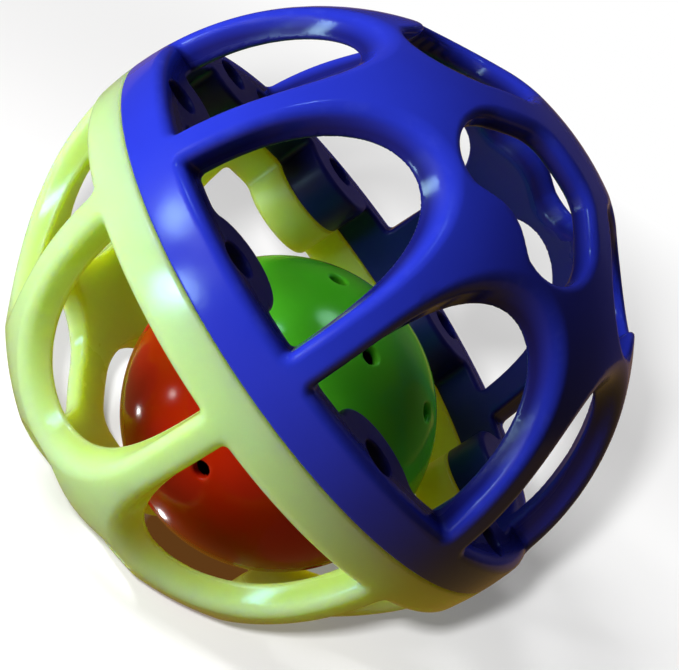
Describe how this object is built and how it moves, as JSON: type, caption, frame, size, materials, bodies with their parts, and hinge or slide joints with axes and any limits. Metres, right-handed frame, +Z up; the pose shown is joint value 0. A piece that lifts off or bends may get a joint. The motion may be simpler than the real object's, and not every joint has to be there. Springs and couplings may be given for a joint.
{
  "type": "cat bell ball",
  "caption": "Openwork plastic ball of two coloured halves with a loose rattle capsule inside that holds a jingle bell; a rolling toy for cats.",
  "frame": {"origin": "centre of the openwork ball", "axes": "+Z up as the ball lies on the rim of a yellow pole hole; the pole of the blue half points up and towards +X; -Y faces the viewer of the picture"},
  "size_m": [0.08, 0.08, 0.0784],
  "materials": {
    "blue_plastic": "glossy royal blue moulding",
    "yellow_plastic": "glossy, slightly translucent lime yellow moulding",
    "green_plastic": "glossy green moulding",
    "red_plastic": "glossy red moulding",
    "bell_brass": "bright stamped sheet",
    "loop_wire": "drawn wire",
    "pellet_steel": "tumbled"
  },
  "bodies": {
    "cage": {"blue_cage_half": "blue_plastic", "yellow_cage_half": "yellow_plastic"},
    "capsule": {"green_capsule_half": "green_plastic", "red_capsule_half": "red_plastic"},
    "bell": {"bell_top_cup": "bell_brass", "bell_bottom_cup": "bell_brass", "bell_loop": "loop_wire"},
    "pellet": {"bell_pellet": "pellet_steel"}
  },
  "joints": [
    {"name": "capsule_roll", "type": "slide", "parent": "cage", "child": "capsule", "axis": [-0.1202, -0.2095, 0.9704], "range_m": [0, 0.031]},
    {"name": "bell_tumble", "type": "slide", "parent": "capsule", "child": "bell", "axis": [0, 0, 1], "range_m": [0, 0.0124]},
    {"name": "pellet_run", "type": "slide", "parent": "bell", "child": "pellet", "axis": [0, 0, 1], "range_m": [0, 0.0136]}
  ]
}
